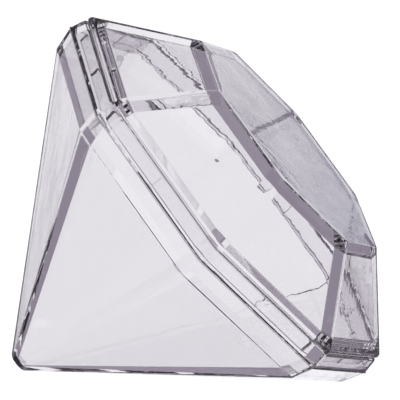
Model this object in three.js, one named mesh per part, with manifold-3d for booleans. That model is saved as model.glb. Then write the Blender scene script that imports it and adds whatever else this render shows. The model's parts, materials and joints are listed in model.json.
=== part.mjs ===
import * as THREE from 'three';
import { mergeVertices } from 'three/addons/utils/BufferGeometryUtils.js';
import Module from 'manifold-3d';

// A clear, hollow box in the shape of a brilliant-cut gem, lying on one of its lower facets.
// It is two thin octagonal shells: a lid (the flat table and the sloping crown) whose lip
// drops into a base (the girdle band and the pointed pavilion). The band bulges slightly to an
// edge at its widest, below the parting line. Millimetres, +Z up.
//
// Each shell is turned about its own Y axis with eight flat sides. Widths are half the
// distance across two opposite flats; heights are measured from the parting line at y = 0,
// positive towards the table and negative towards the point.

// Outside shape
const SIDES = 8;
const TABLE_HALF_WIDTH = 16.4;
const GIRDLE_HALF_WIDTH = 27.05;
const WIDEST_HALF_WIDTH = 27.7;
const BAND_FOOT_HALF_WIDTH = 26.8;
const POINT_HALF_WIDTH = 1.3;
const GIRDLE_Y = 0.7;
const CROWN_HEIGHT = 9.05;
const WIDEST_DROP = 2.35;
const BAND_HEIGHT = 5.55;
const PAVILION_HEIGHT = 31.8;

// Walls and fit
const WALL = 1.3;
const PARTING_GAP = 0.3;
const LIP_CLEARANCE = 0.3;
const LIP_WALL = 0.6;
const LIP_DEPTH = 2.4;

// Crush ribs up the middle of every side of the lip
const RIB_WIDTH = 0.4;
const RIB_PROUD = 0.15;

// Snap pips on every second side of the lip, which pass the rim and sit in the bulge
const PIP_RADIUS = 0.65;
const PIP_PROUD = 0.2;
const PIP_ABOVE_LIP_END = 0.7;

const HALF_SIDE_ANGLE = Math.PI / SIDES;
const CORNER_FACTOR = 1 / Math.cos(HALF_SIDE_ANGLE);
const TABLE_Y = GIRDLE_Y + CROWN_HEIGHT;
const POINT_Y = -(BAND_HEIGHT + PAVILION_HEIGHT);

const wasm = await Module();
wasm.setup();

function toSolid(geometry) {
  const bare = geometry.clone();
  bare.deleteAttribute('normal');
  bare.deleteAttribute('uv');
  const merged = mergeVertices(bare);
  const index = merged.index.array;
  const triangles = [];
  for (let i = 0; i < index.length; i += 3) {
    const [a, b, c] = [index[i], index[i + 1], index[i + 2]];
    if (a !== b && b !== c && c !== a) {
      triangles.push(a, b, c);
    }
  }
  return new wasm.Manifold(new wasm.Mesh({
    numProp: 3,
    vertProperties: new Float32Array(merged.attributes.position.array),
    triVerts: new Uint32Array(triangles),
  }));
}

function toGeometry(solid) {
  const mesh = solid.getMesh();
  const geometry = new THREE.BufferGeometry();
  geometry.setAttribute('position', new THREE.BufferAttribute(mesh.vertProperties, 3));
  geometry.setIndex(new THREE.BufferAttribute(mesh.triVerts, 1));
  return geometry;
}

// Turns an outline of (half width across flats, height) into an eight-sided solid whose
// flat sides face along X and Z.
function octagonalSolid(outline) {
  const corners = outline.map(([halfWidth, y]) => new THREE.Vector2(halfWidth * CORNER_FACTOR, y));
  return toSolid(new THREE.LatheGeometry(corners, SIDES, HALF_SIDE_ANGLE));
}

// The line through two outline points, moved sideways by the wall, as a point and a direction.
function movedLine([x1, y1], [x2, y2], distance) {
  const length = Math.hypot(x2 - x1, y2 - y1);
  const direction = [(x2 - x1) / length, (y2 - y1) / length];
  return { point: [x1 - direction[1] * distance, y1 + direction[0] * distance], direction };
}

// Half width of such a line at a height, and height at a half width.
function widthAt(line, y) {
  return line.point[0] + (y - line.point[1]) * line.direction[0] / line.direction[1];
}

function heightAt(line, x) {
  return line.point[1] + (x - line.point[0]) * line.direction[1] / line.direction[0];
}

function crossing(a, b) {
  const [dx, dy] = [b.point[0] - a.point[0], b.point[1] - a.point[1]];
  const turn = a.direction[0] * b.direction[1] - a.direction[1] * b.direction[0];
  const along = (dx * b.direction[1] - dy * b.direction[0]) / turn;
  return [a.point[0] + along * a.direction[0], a.point[1] + along * a.direction[1]];
}

// Outside corners of the section, from the point of the pavilion up to the table
const point = [POINT_HALF_WIDTH, POINT_Y];
const bandFoot = [BAND_FOOT_HALF_WIDTH, -BAND_HEIGHT];
const widest = [WIDEST_HALF_WIDTH, -WIDEST_DROP];
const girdle = [GIRDLE_HALF_WIDTH, GIRDLE_Y];
const table = [TABLE_HALF_WIDTH, TABLE_Y];
const upperBand = movedLine(widest, girdle, 0);

// Inside faces, one wall in from the outside ones
const pavilionInside = movedLine(point, bandFoot, WALL);
const lowerBandInside = movedLine(bandFoot, widest, WALL);
const upperBandInside = movedLine(widest, girdle, WALL);
const crownInside = movedLine(girdle, table, WALL);

const lipHalfWidth = widthAt(upperBandInside, 0) - LIP_CLEARANCE;
const lipInsideHalfWidth = lipHalfWidth - LIP_WALL;
const pipY = -LIP_DEPTH + PIP_ABOVE_LIP_END;

// A ball flattened against a face at the given distance from the axis, on one side of the octagon.
function flattenedBall(radius, depth, distance, side) {
  const ball = new THREE.SphereGeometry(radius, 16, 12);
  ball.scale(depth / radius, 1, 1);
  ball.translate(distance, pipY, 0);
  ball.rotateY(side * 2 * HALF_SIDE_ANGLE);
  return toSolid(ball);
}

function lidSolid() {
  const underTable = TABLE_Y - WALL;
  let lid = octagonalSolid([
    [0, underTable],
    [widthAt(crownInside, underTable), underTable],
    [lipInsideHalfWidth, heightAt(crownInside, lipInsideHalfWidth)],
    [lipInsideHalfWidth, -LIP_DEPTH],
    [lipHalfWidth, -LIP_DEPTH],
    [lipHalfWidth, 0],
    [widthAt(upperBand, 0), 0],
    girdle,
    table,
    [0, TABLE_Y],
  ]);
  for (let side = 0; side < SIDES; side += 1) {
    const rib = new THREE.BoxGeometry(RIB_PROUD + LIP_WALL / 2, LIP_DEPTH, RIB_WIDTH);
    rib.translate(lipHalfWidth + (RIB_PROUD - LIP_WALL / 2) / 2, -LIP_DEPTH / 2, 0);
    rib.rotateY(side * 2 * HALF_SIDE_ANGLE);
    lid = lid.add(toSolid(rib));
  }
  for (let side = 0; side < SIDES; side += 2) {
    lid = lid.add(flattenedBall(PIP_RADIUS, PIP_PROUD, lipHalfWidth, side));
  }
  return lid;
}

function baseSolid() {
  const floorY = POINT_Y + WALL;
  return octagonalSolid([
    [0, POINT_Y],
    point,
    bandFoot,
    widest,
    [widthAt(upperBand, -PARTING_GAP), -PARTING_GAP],
    [widthAt(upperBandInside, -PARTING_GAP), -PARTING_GAP],
    crossing(lowerBandInside, upperBandInside),
    crossing(pavilionInside, lowerBandInside),
    [widthAt(pavilionInside, floorY), floorY],
    [0, floorY],
  ]);
}

const clearPlastic = new THREE.MeshStandardMaterial({
  color: 0xdddbe2,
  roughness: 0.06,
  metalness: 0,
  transparent: true,
  opacity: 0.35,
});

function shell(name, solid) {
  const mesh = new THREE.Mesh(toGeometry(solid), clearPlastic.clone());
  mesh.name = name;
  return mesh;
}

// Stood upright, the box's own Y axis points up. It is then tipped over until a pavilion
// facet lies flat on the ground, with the table facing up and towards +X.
const upright = new THREE.Group();
upright.rotation.x = Math.PI / 2;
upright.add(shell('crown_lid', lidSolid()), shell('pavilion_base', baseSolid()));

const facetToAxis = Math.atan2(BAND_FOOT_HALF_WIDTH - POINT_HALF_WIDTH, PAVILION_HEIGHT);
const lying = new THREE.Group();
lying.rotation.y = Math.PI / 2 - facetToAxis;
lying.add(upright);

// The origin is on the ground, below the middle of the box's outline seen from above.
const bounds = new THREE.Box3().setFromObject(lying, true);
const centre = bounds.getCenter(new THREE.Vector3());
lying.position.set(-centre.x, -centre.y, -bounds.min.z);

const group = new THREE.Group();
group.add(lying);

export default group;
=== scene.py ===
"""A clear plastic box in the shape of a cut gem, lying on one of its lower facets on a pale floor."""

import json
import math

import bpy
import numpy as np
from mathutils import Matrix, Vector


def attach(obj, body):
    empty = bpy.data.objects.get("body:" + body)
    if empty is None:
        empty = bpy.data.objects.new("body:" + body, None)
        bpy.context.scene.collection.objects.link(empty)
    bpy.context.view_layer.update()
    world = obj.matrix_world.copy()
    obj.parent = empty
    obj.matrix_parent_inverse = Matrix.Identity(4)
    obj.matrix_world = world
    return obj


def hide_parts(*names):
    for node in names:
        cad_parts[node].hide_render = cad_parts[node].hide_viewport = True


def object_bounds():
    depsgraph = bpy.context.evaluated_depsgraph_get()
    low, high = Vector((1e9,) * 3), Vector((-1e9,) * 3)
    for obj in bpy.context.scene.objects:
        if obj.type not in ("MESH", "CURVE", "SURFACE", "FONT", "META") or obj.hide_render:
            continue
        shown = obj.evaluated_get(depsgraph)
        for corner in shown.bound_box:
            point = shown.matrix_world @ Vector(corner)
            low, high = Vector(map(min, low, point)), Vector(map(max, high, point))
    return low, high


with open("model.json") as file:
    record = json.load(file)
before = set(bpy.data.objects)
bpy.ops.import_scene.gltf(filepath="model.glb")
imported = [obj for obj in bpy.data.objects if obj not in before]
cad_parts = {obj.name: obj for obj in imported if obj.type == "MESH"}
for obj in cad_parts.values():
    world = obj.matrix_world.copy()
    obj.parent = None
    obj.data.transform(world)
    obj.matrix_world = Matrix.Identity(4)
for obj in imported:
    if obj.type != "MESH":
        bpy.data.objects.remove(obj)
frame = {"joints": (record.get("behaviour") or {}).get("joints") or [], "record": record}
cad_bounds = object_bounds()
record = frame["record"]

MM = 0.001

# ---- The box's own shape, in metres ----
# Widths are half the distance across two opposite flat sides. Heights run along the box's
# axis from the parting line, up to the table and down (negative) to the point.
SIDES = 8
TABLE = 16.4 * MM
GIRDLE = 27.05 * MM
WIDEST = 27.7 * MM
BAND_FOOT = 26.8 * MM
POINT = 1.3 * MM
GIRDLE_Y = 0.7 * MM
CROWN_HEIGHT = 9.05 * MM
WIDEST_DROP = 2.35 * MM
BAND_HEIGHT = 5.55 * MM
PAVILION_HEIGHT = 31.8 * MM
WALL = 1.3 * MM
PARTING_GAP = 0.1 * MM
LIP_CLEARANCE = 0.3 * MM
LIP_WALL = 0.6 * MM
LIP_DEPTH = 2.4 * MM
RIB_WIDTH = 0.4 * MM
RIB_PROUD = 0.15 * MM
PIP_RADIUS = 0.65 * MM
PIP_PROUD = 0.2 * MM
PIP_ABOVE_LIP_END = 0.7 * MM

# A fine raised witness line runs round the widest edge, where the halves of the mould met.
WITNESS_HALF = 0.2 * MM
WITNESS_PROUD = 0.12 * MM

# Outer edges are slightly rounded, with a hair-wide flat in the middle of each crease between
# two sides. Inner corners are cut off flat: a CUT is how far back along each wall its flat
# starts from where the two walls would meet.
CREASE_RADIUS = 0.8 * MM
CREASE_FLAT = 0.02 * MM
TABLE_EDGE_RADIUS = 0.5 * MM
GIRDLE_RADIUS = 0.3 * MM
LID_RIM_RADIUS = 0.22 * MM
BASE_RIM_RADIUS = 0.45 * MM
BAND_RADIUS = 0.5 * MM
WITNESS_RADIUS = WITNESS_HALF / 4
RIM_RADIUS = 0.15 * MM
INNER_RADIUS = 0.25 * MM
INNER_CUT = 1.2 * MM
FOOT_CUT = 0.62 * MM
POINT_CUT = 0.15 * MM
LARGEST_CUT_SHARE = 0.5
ARC_STEPS = 4

# Extra columns about the middle of every side and extra rows across the pips, so that the
# small ribs and pips come out of the mesh itself
MARKED_HALF = 1.1 * MM
MARKED_COLUMNS = 23
MARKED_SHARE = 0.3
PIP_ROWS_HALF = 0.8 * MM
PIP_ROW_STEP = 0.08 * MM
SLOPE_STEP = 0.01 * MM
RIB_SQUARENESS = 4
PIP_ROUNDNESS = 0.75
ON_AXIS = 1e-9

HALF_SIDE_ANGLE = math.pi / SIDES
TABLE_Y = GIRDLE_Y + CROWN_HEIGHT
POINT_Y = -(BAND_HEIGHT + PAVILION_HEIGHT)

# ---- Where the box lies: its axis from the joint, its parting line from the flat top ----
axis = np.array(frame["joints"][0]["axis"], float)
axis /= np.linalg.norm(axis)
table_mount = next(m for m in record["mounts"] if m["name"] == "table_face")
centre = np.array(table_mount["pos_m"], float) - TABLE_Y * axis
sideways = np.array([0.0, 1.0, 0.0])
downhill = np.cross(sideways, axis)


# ---- Section outlines ----
def unit(vector):
    """The same direction, one long."""
    return vector / np.hypot(*vector)


def moved_line(a, b, distance):
    """The line from a to b, moved to its left by distance, as a point and a unit direction."""
    step = unit(np.subtract(b, a))
    return np.array([a[0] - step[1] * distance, a[1] + step[0] * distance]), step


def width_at(line, height):
    """How far from the axis a line is at this height."""
    point, step = line
    return point[0] + (height - point[1]) * step[0] / step[1]


def height_at(line, width):
    """How high a line is at this distance from the axis."""
    point, step = line
    return point[1] + (width - point[0]) * step[1] / step[0]


def crossing(first, second):
    """The point where two lines cross."""
    (start, step), (other, other_step) = first, second
    gap = other - start
    turned = step[0] * other_step[1] - step[1] * other_step[0]
    along = (gap[0] * other_step[1] - gap[1] * other_step[0]) / turned
    return start + along * step


point_corner = (POINT, POINT_Y)
foot_corner = (BAND_FOOT, -BAND_HEIGHT)
widest_corner = (WIDEST, -WIDEST_DROP)
girdle_corner = (GIRDLE, GIRDLE_Y)
table_corner = (TABLE, TABLE_Y)
pavilion_inside = moved_line(point_corner, foot_corner, WALL)
lower_band_inside = moved_line(foot_corner, widest_corner, WALL)
upper_band = moved_line(widest_corner, girdle_corner, 0)
upper_band_inside = moved_line(widest_corner, girdle_corner, WALL)
crown_inside = moved_line(girdle_corner, table_corner, WALL)
LIP = width_at(upper_band_inside, 0) - LIP_CLEARANCE
LIP_INSIDE = LIP - LIP_WALL
PIP_Y = -LIP_DEPTH + PIP_ABOVE_LIP_END


def outward_crease(radius):
    """An octagon corner rounded by one arc, as the cut and the radius of its two halves."""
    cut = radius * (math.tan(HALF_SIDE_ANGLE) - math.tan(HALF_SIDE_ANGLE / 2)) + CREASE_FLAT
    return np.array([cut, radius])


OUTER_CREASE = outward_crease(CREASE_RADIUS)
INNER_CREASE = np.array([INNER_CUT, INNER_RADIUS])


def corner(width, height, wall, radius, crease, cut=0.0):
    """A section corner: its place, the wall that runs on from it, how the section is rounded or
    cut there, and how the wall's octagon is creased."""
    return {"at": (width, height), "wall": wall, "radius": radius, "crease": crease, "cut": cut}


def blunted(corners):
    """Section corners, with each one that has a cut replaced by the two ends of its flat."""
    full = []
    for i, here in enumerate(corners):
        place = np.array(here["at"], float)
        if not here["cut"]:
            full.append({**here, "at": place})
            continue
        for j in (i - 1, i + 1):
            away = np.subtract(corners[j]["at"], place)
            end = place + away * here["cut"] / np.hypot(*away)
            full.append({**here, "at": end, "wall": "" if j < i else here["wall"]})
    return full


def rounded_corner(before, here, after):
    """The stations round the arc of one section corner."""
    behind = unit(here["at"] - before["at"])
    ahead = unit(after["at"] - here["at"])
    radius = here["radius"]
    turn = math.atan2(behind[0] * ahead[1] - behind[1] * ahead[0], behind @ ahead)
    normal = np.array([-behind[1], behind[0]]) * math.copysign(1, turn)
    middle = here["at"] - behind * radius * math.tan(abs(turn) / 2) + normal * radius
    walls = [before["wall"]] + [""] * (ARC_STEPS - 1) + [here["wall"]]
    stations = []
    for k, wall in enumerate(walls):
        share = k / ARC_STEPS
        cosine = math.cos(turn * share)
        sine = math.sin(turn * share)
        spin = np.array([[cosine, -sine], [sine, cosine]])
        crease = (1 - share) * before["crease"] + share * here["crease"]
        stations.append((middle - spin @ normal * radius, spin @ behind, wall, crease))
    return stations


def rounded_section(corners):
    """Stations down a section, as (place, direction, wall, crease)."""
    corners = blunted(corners)
    first, second = corners[:2]
    stations = [(first["at"], unit(second["at"] - first["at"]), first["wall"], first["crease"])]
    for before, here, after in zip(corners, corners[1:], corners[2:]):
        stations += rounded_corner(before, here, after)
    before, last = corners[-2:]
    stations.append((last["at"], unit(last["at"] - before["at"]), before["wall"], before["crease"]))
    return stations


def filled_in(stations, wall, marks):
    """The same stations with more of them along one wall, at the heights in marks."""
    full = []
    for here, after in zip(stations, stations[1:] + [None]):
        full.append(here)
        if after is None or here[2] != wall or after[2] != wall:
            continue
        start, end = here[0][1], after[0][1]
        inside = [mark for mark in marks if min(start, end) < mark < max(start, end)]
        for height in sorted(inside, reverse=bool(end < start)):
            share = (height - start) / (end - start)
            full.append((here[0] + share * (after[0] - here[0]), here[1], wall, here[3]))
    return full


# ---- Octagonal shells ----
def radial(angle):
    """Straight out from the axis at this angle round it."""
    return math.cos(angle) * downhill + math.sin(angle) * sideways


def tangent(angle):
    """Round the axis at this angle, square to the way out."""
    return -math.sin(angle) * downhill + math.cos(angle) * sideways


SIDE_MARKS = np.linspace(-MARKED_HALF, MARKED_HALF, MARKED_COLUMNS)


def ring_columns():
    """The columns round an octagon: across each flat side, then round its corner, as (side,
    kind, angle, value). The kind is "flat", or -1 or 1 for the two halves of a corner."""
    columns = []
    for side in range(SIDES):
        middle = side * 2 * HALF_SIDE_ANGLE
        columns += [(side, "flat", middle, across) for across in SIDE_MARKS]
        for half in (-1, 1):
            for k in range(ARC_STEPS + 1):
                share = k / ARC_STEPS
                swing = HALF_SIDE_ANGLE * (share - 1 if half < 0 else share)
                columns.append((side, half, middle + HALF_SIDE_ANGLE, swing))
    return columns


def on_side(station, column, proud):
    """A point on a flat side of the octagon at this station, from the axis, and its normal."""
    (width, height), (outward, upward), _, _ = station
    side, _, angle, across = column
    half_side = width * math.tan(HALF_SIDE_ANGLE)
    across = across * min(1.0, MARKED_SHARE * half_side / MARKED_HALF)
    place = width * radial(angle) + across * tangent(angle)
    normal = upward * radial(angle) - outward * axis
    if proud is None:
        return place, normal
    lift = proud(side, across, height)
    slope_across = (proud(side, across + SLOPE_STEP, height) - lift) / SLOPE_STEP
    slope_up = (proud(side, across, height + SLOPE_STEP) - lift) / SLOPE_STEP
    place = place + lift * normal
    along = outward * radial(angle) + upward * axis
    normal = normal - slope_across * tangent(angle) - slope_up * math.copysign(1, upward) * along
    return place, normal


def on_corner(station, column):
    """A point on half a corner of the octagon at this station, from the axis, and its normal."""
    (width, _), (outward, upward), _, (cut, radius) = station
    _, half, angle, swing = column
    half_side = width * math.tan(HALF_SIDE_ANGLE)
    cut = min(cut, LARGEST_CUT_SHARE * half_side)
    radius = min(radius, half_side)
    side_angle = angle + half * HALF_SIDE_ANGLE
    end = width * radial(side_angle) - half * (half_side - cut) * tangent(side_angle)
    to_middle = (radial(side_angle) + radial(angle)) / (1 + math.cos(HALF_SIDE_ANGLE))
    facing = radial(angle + swing)
    return end - radius * to_middle + radius * facing, upward * facing - outward * axis


def faces_between(rings, per_ring):
    """Faces from each ring of points to the next. A ring is the number of its first point and
    whether it is just one point on the axis."""
    faces = []
    for (low, low_is_point), (high, high_is_point) in zip(rings, rings[1:]):
        for c in range(per_ring):
            d = (c + 1) % per_ring
            if low_is_point:
                faces.append((low, high + d, high + c))
            elif high_is_point:
                faces.append((low + c, low + d, high))
            else:
                faces.append((low + c, low + d, high + d, high + c))
    return faces


def octagonal_shell(name, stations, bumps):
    """A closed mesh from a section: at every station an octagon with rounded or cut corners.
    bumps gives, for a wall's name, a function of (side, across, height) that returns how far
    the wall stands proud there."""
    columns = ring_columns()
    points = []
    normals = []
    rings = []
    for station in stations:
        (width, height), (outward, _), wall, _ = station
        rings.append((len(points), width < ON_AXIS))
        if width < ON_AXIS:
            points.append(centre + height * axis)
            normals.append(axis * math.copysign(1, -outward))
            continue
        for column in columns:
            if column[1] == "flat":
                place, normal = on_side(station, column, bumps.get(wall))
            else:
                place, normal = on_corner(station, column)
            points.append(centre + place + height * axis)
            normals.append(normal / np.linalg.norm(normal))
    mesh = bpy.data.meshes.new(name)
    mesh.from_pydata([tuple(p) for p in points], [], faces_between(rings, len(columns)))
    mesh.polygons.foreach_set("use_smooth", [True] * len(mesh.polygons))
    mesh.update()
    mesh.normals_split_custom_set_from_vertices([tuple(n) for n in normals])
    thing = bpy.data.objects.new(name, mesh)
    bpy.context.scene.collection.objects.link(thing)
    return thing


# ---- The two mouldings ----
def lip_outside(side, across, height):
    """Every side of the lip has a rib up its middle, and every second side a round pip."""
    rib = RIB_PROUD * max(0.0, 1 - (abs(across) / (RIB_WIDTH / 2)) ** RIB_SQUARENESS)
    share = 1 - (across ** 2 + (height - PIP_Y) ** 2) / PIP_RADIUS ** 2
    pip = PIP_PROUD * share ** PIP_ROUNDNESS if side % 2 == 0 and share > 0 else 0.0
    return max(rib, pip)


def make_lid():
    under_table = TABLE_Y - WALL
    under_corner = width_at(crown_inside, under_table)
    lip_top = height_at(crown_inside, LIP_INSIDE)
    section = rounded_section([
        corner(0, under_table, "ceiling", 0, INNER_CREASE),
        corner(under_corner, under_table, "crown_in", INNER_RADIUS, INNER_CREASE, INNER_CUT),
        corner(LIP_INSIDE, lip_top, "lip_in", INNER_RADIUS, INNER_CREASE),
        corner(LIP_INSIDE, -LIP_DEPTH, "lip_end", RIM_RADIUS, INNER_CREASE),
        corner(LIP, -LIP_DEPTH, "lip_out", RIM_RADIUS, INNER_CREASE),
        corner(LIP, 0, "rim", RIM_RADIUS, INNER_CREASE),
        corner(width_at(upper_band, 0), 0, "girdle", LID_RIM_RADIUS, OUTER_CREASE),
        corner(GIRDLE, GIRDLE_Y, "crown", GIRDLE_RADIUS, OUTER_CREASE),
        corner(TABLE, TABLE_Y, "table", TABLE_EDGE_RADIUS, OUTER_CREASE),
        corner(0, TABLE_Y, "table", 0, OUTER_CREASE),
    ])
    rows = np.arange(PIP_Y - PIP_ROWS_HALF, PIP_Y + PIP_ROWS_HALF, PIP_ROW_STEP)
    return octagonal_shell("lid_shell", filled_in(section, "lip_out", rows), {"lip_out": lip_outside})


def make_base():
    floor_y = POINT_Y + WALL
    floor_corner = width_at(pavilion_inside, floor_y)
    witness_foot = widest_corner - WITNESS_HALF * unit(np.subtract(widest_corner, foot_corner))
    witness_top = widest_corner + WITNESS_HALF * upper_band[1]
    rim = width_at(upper_band, -PARTING_GAP)
    rim_inside = width_at(upper_band_inside, -PARTING_GAP)
    bulge_inside = crossing(lower_band_inside, upper_band_inside)
    foot_inside = crossing(pavilion_inside, lower_band_inside)
    return octagonal_shell("base_shell", rounded_section([
        corner(0, POINT_Y, "point", 0, OUTER_CREASE),
        corner(POINT, POINT_Y, "pavilion", TABLE_EDGE_RADIUS, OUTER_CREASE),
        corner(BAND_FOOT, -BAND_HEIGHT, "lower_band", BAND_RADIUS, OUTER_CREASE),
        corner(*witness_foot, "witness", WITNESS_RADIUS, OUTER_CREASE),
        corner(WIDEST + WITNESS_PROUD, -WIDEST_DROP, "witness", WITNESS_RADIUS, OUTER_CREASE),
        corner(*witness_top, "upper_band", WITNESS_RADIUS, OUTER_CREASE),
        corner(rim, -PARTING_GAP, "rim", BASE_RIM_RADIUS, OUTER_CREASE),
        corner(rim_inside, -PARTING_GAP, "upper_in", RIM_RADIUS, INNER_CREASE),
        corner(*bulge_inside, "lower_in", INNER_RADIUS, INNER_CREASE),
        corner(*foot_inside, "pavilion_in", INNER_RADIUS, INNER_CREASE, FOOT_CUT),
        corner(floor_corner, floor_y, "floor", POINT_CUT, INNER_CREASE),
        corner(0, floor_y, "floor", 0, INNER_CREASE),
    ]), {})


# ---- Node building ----
class Graph:
    """Short calls for node building."""

    def __init__(self, tree):
        self.tree = tree

    def node(self, kind, **settings):
        made = self.tree.nodes.new(kind)
        for name, value in settings.items():
            setattr(made, name, value)
        return made

    def feed(self, socket, value):
        if hasattr(value, "is_output"):
            self.tree.links.new(value, socket)
        else:
            socket.default_value = value

    def math(self, operation, *values):
        made = self.node("ShaderNodeMath", operation=operation)
        for socket, value in zip(made.inputs, values):
            self.feed(socket, value)
        return made.outputs[0]

    def vector(self, operation, *values):
        made = self.node("ShaderNodeVectorMath", operation=operation)
        for socket, value in zip(made.inputs, values):
            self.feed(socket, value)
        return made

    def step(self, value, low, high, to_low=0.0, to_high=1.0):
        made = self.node("ShaderNodeMapRange", interpolation_type="SMOOTHSTEP", clamp=True)
        for socket, number in zip(made.inputs, (value, low, high, to_low, to_high)):
            self.feed(socket, number)
        return made.outputs[0]

    def mix(self, share, first, second):
        made = self.node("ShaderNodeMix", data_type="RGBA")
        for number, value in ((0, share), (6, first), (7, second)):
            self.feed(made.inputs[number], value)
        return made.outputs[2]

    def noise(self, place, waves, detail, squeeze=(1.0, 1.0, 1.0), shift=0.0):
        """Noise with about so many waves to the metre, more of them along an axis with squeeze."""
        spread = self.node("ShaderNodeMapping")
        self.feed(spread.inputs["Vector"], place)
        self.feed(spread.inputs["Location"], (shift, shift, shift))
        self.feed(spread.inputs["Scale"], squeeze)
        made = self.node("ShaderNodeTexNoise")
        self.feed(made.inputs["Vector"], spread.outputs[0])
        self.feed(made.inputs["Scale"], waves)
        self.feed(made.inputs["Detail"], detail)
        return made.outputs["Fac"]


# ---- Materials ----
PLASTIC_TINT = (0.985, 0.98, 0.988, 1)
POLYSTYRENE_IOR = 1.59
DULLEST = 0.015
FLOOR_COLOUR = (0.5, 0.5, 0.5, 1)
FLOOR_GLOW = (1, 1, 1, 1)
FLOOR_ROUGHNESS = 0.9

# The marks in the plastic's surface: how deep, and how many waves there are to the metre
SINK_DEPTH = 0.05 * MM
SINK_WAVES = 70
FLOW_DEPTH = 0.01 * MM
FLOW_WAVES = 420
FLOW_SHORTENING = 0.85
MARK_DETAIL = 2
SCRATCH_DEPTH = 0.004 * MM
SCRATCH_WAVES = 55
SCRATCH_DETAIL = 1
SCRATCH_SQUEEZE = (1.0, 3.0, 1.0)
SCRATCH_SHIFT = 4.0
SCRATCH_LEVEL = 0.5
SCRATCH_WIDTH = 0.0015

# There are scratches only where another noise is above these levels, and the polish dulls
# as the flow marks rise from the first of the next two levels to the second
SCRATCHED_WAVES = 90
SCRATCHED_SHIFT = 9.0
SCRATCHED = (0.6, 0.66)
DULLED = (0.35, 0.8)


def drawn_out(graph, place):
    """The place with its distance along the box's axis shortened, so that a pattern laid on it
    is drawn out that way, as the plastic flowed."""
    along = graph.vector("DOT_PRODUCT", place, axis).outputs["Value"]
    part = graph.vector("SCALE", axis * -FLOW_SHORTENING)
    graph.feed(part.inputs["Scale"], along)
    return graph.vector("ADD", place, part.outputs[0]).outputs[0]


def scratches(graph, place):
    """Hairlines along the contours of one noise, here and there by another: 1 on them, else 0."""
    wander = graph.noise(place, SCRATCH_WAVES, SCRATCH_DETAIL, SCRATCH_SQUEEZE, SCRATCH_SHIFT)
    off = graph.math("ABSOLUTE", graph.math("SUBTRACT", wander, SCRATCH_LEVEL))
    hairline = graph.step(off, 0.0, SCRATCH_WIDTH, 1.0, 0.0)
    rare = graph.noise(place, SCRATCHED_WAVES, MARK_DETAIL, shift=SCRATCHED_SHIFT)
    return graph.math("MULTIPLY", hairline, graph.step(rare, *SCRATCHED))


def clear_plastic():
    """Moulded polystyrene: surfaces that wander a little from flat, flow marks, a few fine
    hairline scratches, and a polish that is not quite the same everywhere."""
    material = bpy.data.materials.new("clear_polystyrene")
    material.use_nodes = True
    graph = Graph(material.node_tree)
    shader = material.node_tree.nodes["Principled BSDF"]
    shader.inputs["Base Color"].default_value = PLASTIC_TINT
    shader.inputs["Transmission Weight"].default_value = 1.0
    shader.inputs["IOR"].default_value = POLYSTYRENE_IOR
    place = graph.node("ShaderNodeTexCoord").outputs["Object"]
    sink = graph.math("MULTIPLY", graph.noise(place, SINK_WAVES, MARK_DETAIL), SINK_DEPTH)
    flow = graph.noise(drawn_out(graph, place), FLOW_WAVES, MARK_DETAIL)
    scratch = graph.math("MULTIPLY", scratches(graph, place), SCRATCH_DEPTH)
    height = graph.math("ADD", sink, graph.math("MULTIPLY", flow, FLOW_DEPTH))
    bump = graph.node("ShaderNodeBump")
    bump.inputs["Strength"].default_value = 1.0
    bump.inputs["Distance"].default_value = 1.0
    graph.feed(bump.inputs["Height"], graph.math("SUBTRACT", height, scratch))
    graph.feed(shader.inputs["Normal"], bump.outputs["Normal"])
    graph.feed(shader.inputs["Roughness"], graph.step(flow, *DULLED, 0.0, DULLEST))
    return material


def floor_material():
    """A floor that shows as plain white and takes no shadow."""
    material = bpy.data.materials.new("pale_floor")
    material.use_nodes = True
    shader = material.node_tree.nodes["Principled BSDF"]
    shader.inputs["Base Color"].default_value = FLOOR_COLOUR
    shader.inputs["Roughness"].default_value = FLOOR_ROUGHNESS
    shader.inputs["Specular IOR Level"].default_value = 0.0
    shader.inputs["Emission Color"].default_value = FLOOR_GLOW
    shader.inputs["Emission Strength"].default_value = 1.0
    return material


# ---- Pieces ----
plastic = clear_plastic()
lid = make_lid()
base = make_base()
for piece, body, node in ((lid, "lid", "crown_lid"), (base, "base", "pavilion_base")):
    piece.data.materials.append(plastic)
    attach(piece, body)
    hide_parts(node)

# ---- Floor ----
FLOOR_HALF = 3.0
FLOOR_DROP = 0.05 * MM
floor_mesh = bpy.data.meshes.new("floor")
floor_mesh.from_pydata(
    [(x * FLOOR_HALF, y * FLOOR_HALF, -FLOOR_DROP) for x, y in ((-1, -1), (1, -1), (1, 1), (-1, 1))],
    [], [(0, 1, 2, 3)])
floor_mesh.materials.append(floor_material())
floor = bpy.data.objects.new("floor", floor_mesh)
bpy.context.scene.collection.objects.link(floor)
floor.visible_transmission = False
floor.visible_glossy = False

# ---- World ----
# A grey studio with white cards, each one opposite a side that the box is looked at from, so
# that its walls are seen bright against them and its corners dark. The camera itself sees plain
# white. A card is (degrees left of straight behind, degrees up, radius in degrees). The shade is
# a darker patch of the studio that the table mirrors.
CARDS = (
    (-4, -22, 22),
    (-4, -42, 22),
    (0, -4, 14),
    (-19, -5, 11),
    (44, -34, 12),
    (90, -4, 18),
    (-135, -15, 18),
    (0, -90, 12),
)
SHADE = (-33, -20, 5)
EDGE_SOFTNESS = 3
STUDIO_GREY = (0.27, 0.235, 0.295, 1)
SHADE_COLOUR = (0.06, 0.06, 0.15, 1)
CARD_WHITE = (0.955, 0.945, 0.975, 1)
BACKDROP_WHITE = (1, 1, 1, 1)


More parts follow.
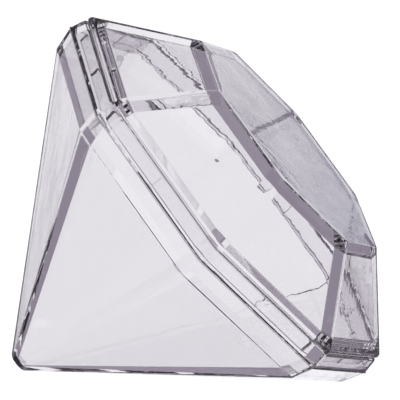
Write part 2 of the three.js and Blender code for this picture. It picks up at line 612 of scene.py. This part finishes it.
def sky_patch(graph, direction, left, up, radius):
    """1 inside a round patch of the sky, 0 outside, softly between."""
    left = math.radians(left)
    up = math.radians(up)
    towards = (-math.sin(left) * math.cos(up), math.cos(left) * math.cos(up), math.sin(up))
    facing = graph.vector("DOT_PRODUCT", direction, towards).outputs["Value"]
    outer = math.cos(math.radians(radius + EDGE_SOFTNESS))
    inner = math.cos(math.radians(radius - EDGE_SOFTNESS))
    return graph.step(facing, outer, inner)


def make_world():
    world = bpy.data.worlds.new("studio")
    bpy.context.scene.world = world
    world.use_nodes = True
    world.node_tree.nodes.clear()
    graph = Graph(world.node_tree)
    direction = graph.node("ShaderNodeTexCoord").outputs["Generated"]
    white = 0.0
    for card in CARDS:
        white = graph.math("MAXIMUM", white, sky_patch(graph, direction, *card))
    grey = graph.mix(sky_patch(graph, direction, *SHADE), STUDIO_GREY, SHADE_COLOUR)
    light = graph.node("ShaderNodeBackground")
    graph.feed(light.inputs["Color"], graph.mix(white, grey, CARD_WHITE))
    backdrop = graph.node("ShaderNodeBackground")
    backdrop.inputs["Color"].default_value = BACKDROP_WHITE
    either = graph.node("ShaderNodeMixShader")
    graph.feed(either.inputs[0], graph.node("ShaderNodeLightPath").outputs["Is Camera Ray"])
    graph.feed(either.inputs[1], light.outputs[0])
    graph.feed(either.inputs[2], backdrop.outputs[0])
    graph.feed(graph.node("ShaderNodeOutputWorld").inputs["Surface"], either.outputs[0])


make_world()

# ---- Camera ----
# The camera stands in front and above, turned a little about its line of sight, and is moved
# sideways and up from looking straight at the middle of the box.
AZIMUTH = math.radians(-9.23)
ELEVATION = math.radians(31.32)
ROLL = math.radians(-0.94)
DISTANCE = 0.486
LENS = 335.3
AIM_RIGHT = 1.676 * MM
AIM_UP = 0.546 * MM
NEAREST_SEEN = 0.01
FARTHEST_SEEN = 20


def make_camera():
    back = Vector((math.sin(AZIMUTH) * math.cos(ELEVATION), -math.cos(AZIMUTH) * math.cos(ELEVATION),
                   math.sin(ELEVATION)))
    level_right = Vector((math.cos(AZIMUTH), math.sin(AZIMUTH), 0))
    level_up = back.cross(level_right)
    right = math.cos(ROLL) * level_right + math.sin(ROLL) * level_up
    up = math.cos(ROLL) * level_up - math.sin(ROLL) * level_right
    low, high = cad_bounds
    target = Vector((0, 0, (low.z + high.z) / 2))
    camera = bpy.data.objects.new("camera", bpy.data.cameras.new("camera"))
    place = target + back * DISTANCE + right * AIM_RIGHT + up * AIM_UP
    turn = Matrix((right, up, back)).transposed()
    camera.matrix_world = Matrix.Translation(place) @ turn.to_4x4()
    camera.data.lens = LENS
    camera.data.clip_start = NEAREST_SEEN
    camera.data.clip_end = FARTHEST_SEEN
    bpy.context.scene.collection.objects.link(camera)
    bpy.context.scene.camera = camera


make_camera()

# ---- Render ----
# Light crosses many walls of clear plastic on its way through the box
BOUNCES = 16
scene = bpy.context.scene
scene.view_settings.view_transform = "Standard"
scene.cycles.max_bounces = BOUNCES
scene.cycles.transmission_bounces = BOUNCES
scene.cycles.glossy_bounces = BOUNCES
scene.cycles.denoising_input_passes = "RGB"
